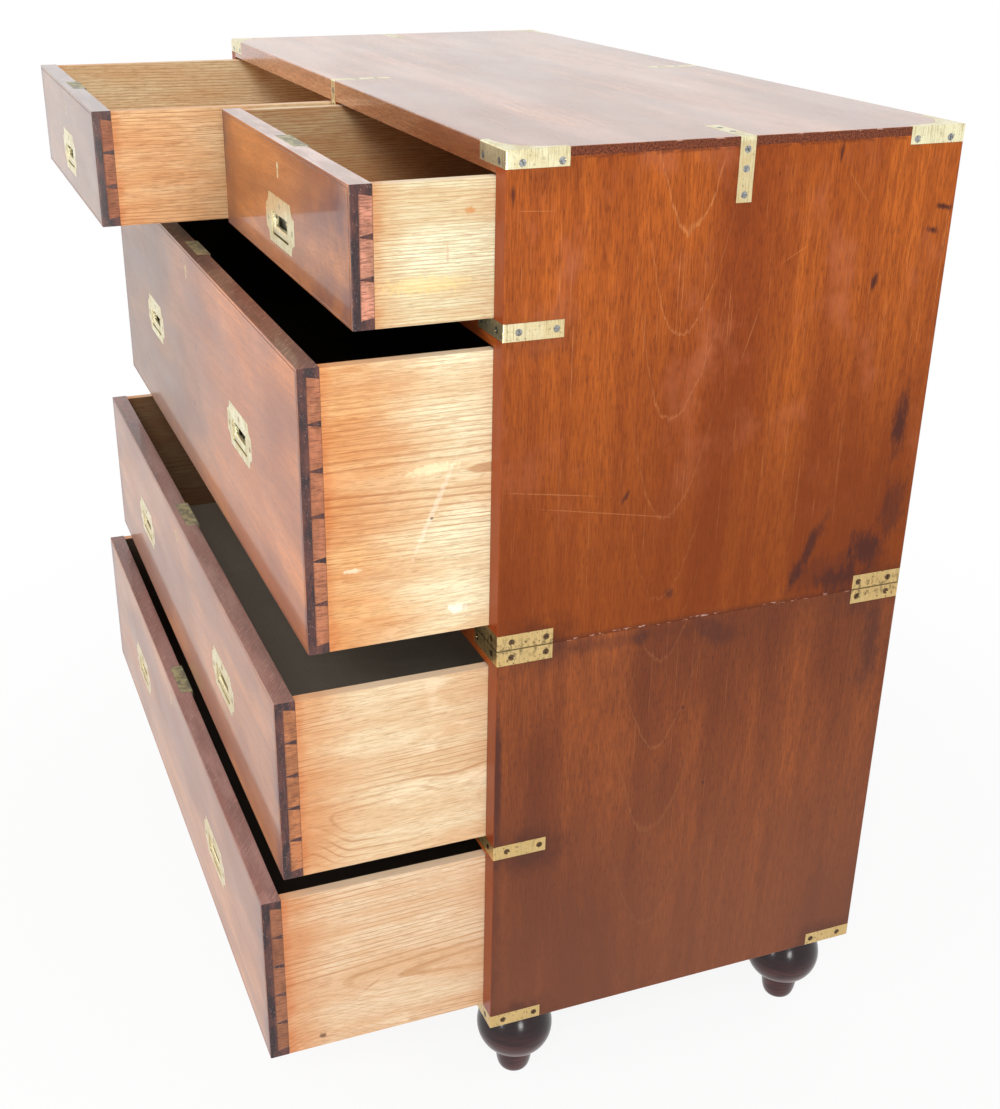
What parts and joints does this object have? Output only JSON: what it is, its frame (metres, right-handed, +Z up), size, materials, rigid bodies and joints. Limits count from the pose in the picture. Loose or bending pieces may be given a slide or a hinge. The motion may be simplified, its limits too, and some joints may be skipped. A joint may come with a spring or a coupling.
{
  "type": "campaign chest",
  "caption": "Stacking mahogany campaign chest of drawers with flush brass corners and straps, sunk drop handles and turned bun feet, its drawers standing partly open.",
  "frame": {"origin": "on the floor, under the middle of the case footprint", "axes": "+Z up, -Y the way the drawers open, +X the right-hand side as seen from the front"},
  "size_m": [1, 0.718, 1.0363],
  "materials": {
    "case_mahogany": "french-polished, worn",
    "drawer_front_mahogany": "french-polished, glossy",
    "drawer_lining_wood": "bare, matt",
    "secondary_wood": "bare, matt",
    "dark_wood": "ebonised, polished",
    "brass": "aged, satin"
  },
  "bodies": {
    "lower_case": {"lower_top": "secondary_wood", "lower_sides": "case_mahogany", "lower_bottom": "secondary_wood", "lower_back": "secondary_wood", "lower_drawer_rail": "case_mahogany", "lower_dustboard": "secondary_wood", "lower_brass": "brass", "locating_pegs": "secondary_wood", "feet": "dark_wood"},
    "upper_case": {"upper_top": "case_mahogany", "upper_sides": "case_mahogany", "upper_bottom": "secondary_wood", "upper_back": "secondary_wood", "upper_divider": "case_mahogany", "upper_drawer_rail": "case_mahogany", "upper_dustboard": "secondary_wood", "upper_brass": "brass"},
    "left_short_drawer": {"left_short_drawer_front": "drawer_front_mahogany", "left_short_drawer_sides": "drawer_lining_wood", "left_short_drawer_back": "drawer_lining_wood", "left_short_drawer_bottom": "drawer_lining_wood", "left_short_drawer_handle_plate": "brass", "left_short_drawer_lock": "brass"},
    "left_short_drawer_bail": {"left_short_drawer_bail": "brass"},
    "left_short_drawer_lock_bolt": {"left_short_drawer_lock_bolt": "brass"},
    "right_short_drawer": {"right_short_drawer_front": "drawer_front_mahogany", "right_short_drawer_sides": "drawer_lining_wood", "right_short_drawer_back": "drawer_lining_wood", "right_short_drawer_bottom": "drawer_lining_wood", "right_short_drawer_handle_plate": "brass", "right_short_drawer_lock": "brass"},
    "right_short_drawer_bail": {"right_short_drawer_bail": "brass"},
    "right_short_drawer_lock_bolt": {"right_short_drawer_lock_bolt": "brass"},
    "deep_drawer": {"deep_drawer_front": "drawer_front_mahogany", "deep_drawer_sides": "drawer_lining_wood", "deep_drawer_back": "drawer_lining_wood", "deep_drawer_bottom": "drawer_lining_wood", "deep_drawer_handle_plates": "brass", "deep_drawer_lock": "brass"},
    "deep_drawer_left_bail": {"deep_drawer_left_bail": "brass"},
    "deep_drawer_right_bail": {"deep_drawer_right_bail": "brass"},
    "deep_drawer_lock_bolt": {"deep_drawer_lock_bolt": "brass"},
    "upper_long_drawer": {"upper_long_drawer_front": "drawer_front_mahogany", "upper_long_drawer_sides": "drawer_lining_wood", "upper_long_drawer_back": "drawer_lining_wood", "upper_long_drawer_bottom": "drawer_lining_wood", "upper_long_drawer_handle_plates": "brass", "upper_long_drawer_lock": "brass"},
    "upper_long_drawer_left_bail": {"upper_long_drawer_left_bail": "brass"},
    "upper_long_drawer_right_bail": {"upper_long_drawer_right_bail": "brass"},
    "upper_long_drawer_lock_bolt": {"upper_long_drawer_lock_bolt": "brass"},
    "lower_long_drawer": {"lower_long_drawer_front": "drawer_front_mahogany", "lower_long_drawer_sides": "drawer_lining_wood", "lower_long_drawer_back": "drawer_lining_wood", "lower_long_drawer_bottom": "drawer_lining_wood", "lower_long_drawer_handle_plates": "brass", "lower_long_drawer_lock": "brass"},
    "lower_long_drawer_left_bail": {"lower_long_drawer_left_bail": "brass"},
    "lower_long_drawer_right_bail": {"lower_long_drawer_right_bail": "brass"},
    "lower_long_drawer_lock_bolt": {"lower_long_drawer_lock_bolt": "brass"}
  },
  "joints": [
    {"name": "upper_case_lift", "type": "slide", "parent": "lower_case", "child": "upper_case", "axis": [0, 0, 1], "range_m": [0, 0.08]},
    {"name": "left_short_drawer_slide", "type": "slide", "parent": "upper_case", "child": "left_short_drawer", "axis": [0, -1, 0], "range_m": [-0.263, 0.091]},
    {"name": "left_short_drawer_bail_hinge", "type": "hinge", "parent": "left_short_drawer", "child": "left_short_drawer_bail", "pos_m": [-0.2445, -0.4875, 0.9385], "axis": [-1, 0, 0], "range_deg": [0, 90]},
    {"name": "left_short_drawer_lock_bolt_slide", "type": "slide", "parent": "left_short_drawer", "child": "left_short_drawer_lock_bolt", "axis": [0, 0, 1], "range_m": [0, 0.008]},
    {"name": "right_short_drawer_slide", "type": "slide", "parent": "upper_case", "child": "right_short_drawer", "axis": [0, -1, 0], "range_m": [-0.128, 0.226]},
    {"name": "right_short_drawer_bail_hinge", "type": "hinge", "parent": "right_short_drawer", "child": "right_short_drawer_bail", "pos_m": [0.2445, -0.3525, 0.9385], "axis": [-1, 0, 0], "range_deg": [0, 90]},
    {"name": "right_short_drawer_lock_bolt_slide", "type": "slide", "parent": "right_short_drawer", "child": "right_short_drawer_lock_bolt", "axis": [0, 0, 1], "range_m": [0, 0.008]},
    {"name": "deep_drawer_slide", "type": "slide", "parent": "upper_case", "child": "deep_drawer", "axis": [0, -1, 0], "range_m": [-0.178, 0.176]},
    {"name": "deep_drawer_left_bail_hinge", "type": "hinge", "parent": "deep_drawer", "child": "deep_drawer_left_bail", "pos_m": [-0.234, -0.4025, 0.72655], "axis": [-1, 0, 0], "range_deg": [0, 90]},
    {"name": "deep_drawer_right_bail_hinge", "type": "hinge", "parent": "deep_drawer", "child": "deep_drawer_right_bail", "pos_m": [0.234, -0.4025, 0.72655], "axis": [-1, 0, 0], "range_deg": [0, 90]},
    {"name": "deep_drawer_lock_bolt_slide", "type": "slide", "parent": "deep_drawer", "child": "deep_drawer_lock_bolt", "axis": [0, 0, 1], "range_m": [0, 0.008]},
    {"name": "upper_long_drawer_slide", "type": "slide", "parent": "lower_case", "child": "upper_long_drawer", "axis": [0, -1, 0], "range_m": [-0.213, 0.141]},
    {"name": "upper_long_drawer_left_bail_hinge", "type": "hinge", "parent": "upper_long_drawer", "child": "upper_long_drawer_left_bail", "pos_m": [-0.234, -0.4375, 0.44625], "axis": [-1, 0, 0], "range_deg": [0, 90]},
    {"name": "upper_long_drawer_right_bail_hinge", "type": "hinge", "parent": "upper_long_drawer", "child": "upper_long_drawer_right_bail", "pos_m": [0.234, -0.4375, 0.44625], "axis": [-1, 0, 0], "range_deg": [0, 90]},
    {"name": "upper_long_drawer_lock_bolt_slide", "type": "slide", "parent": "upper_long_drawer", "child": "upper_long_drawer_lock_bolt", "axis": [0, 0, 1], "range_m": [0, 0.008]},
    {"name": "lower_long_drawer_slide", "type": "slide", "parent": "lower_case", "child": "lower_long_drawer", "axis": [0, -1, 0], "range_m": [-0.237, 0.117]},
    {"name": "lower_long_drawer_left_bail_hinge", "type": "hinge", "parent": "lower_long_drawer", "child": "lower_long_drawer_left_bail", "pos_m": [-0.234, -0.4615, 0.22475], "axis": [-1, 0, 0], "range_deg": [0, 90]},
    {"name": "lower_long_drawer_right_bail_hinge", "type": "hinge", "parent": "lower_long_drawer", "child": "lower_long_drawer_right_bail", "pos_m": [0.234, -0.4615, 0.22475], "axis": [-1, 0, 0], "range_deg": [0, 90]},
    {"name": "lower_long_drawer_lock_bolt_slide", "type": "slide", "parent": "lower_long_drawer", "child": "lower_long_drawer_lock_bolt", "axis": [0, 0, 1], "range_m": [0, 0.008]}
  ]
}
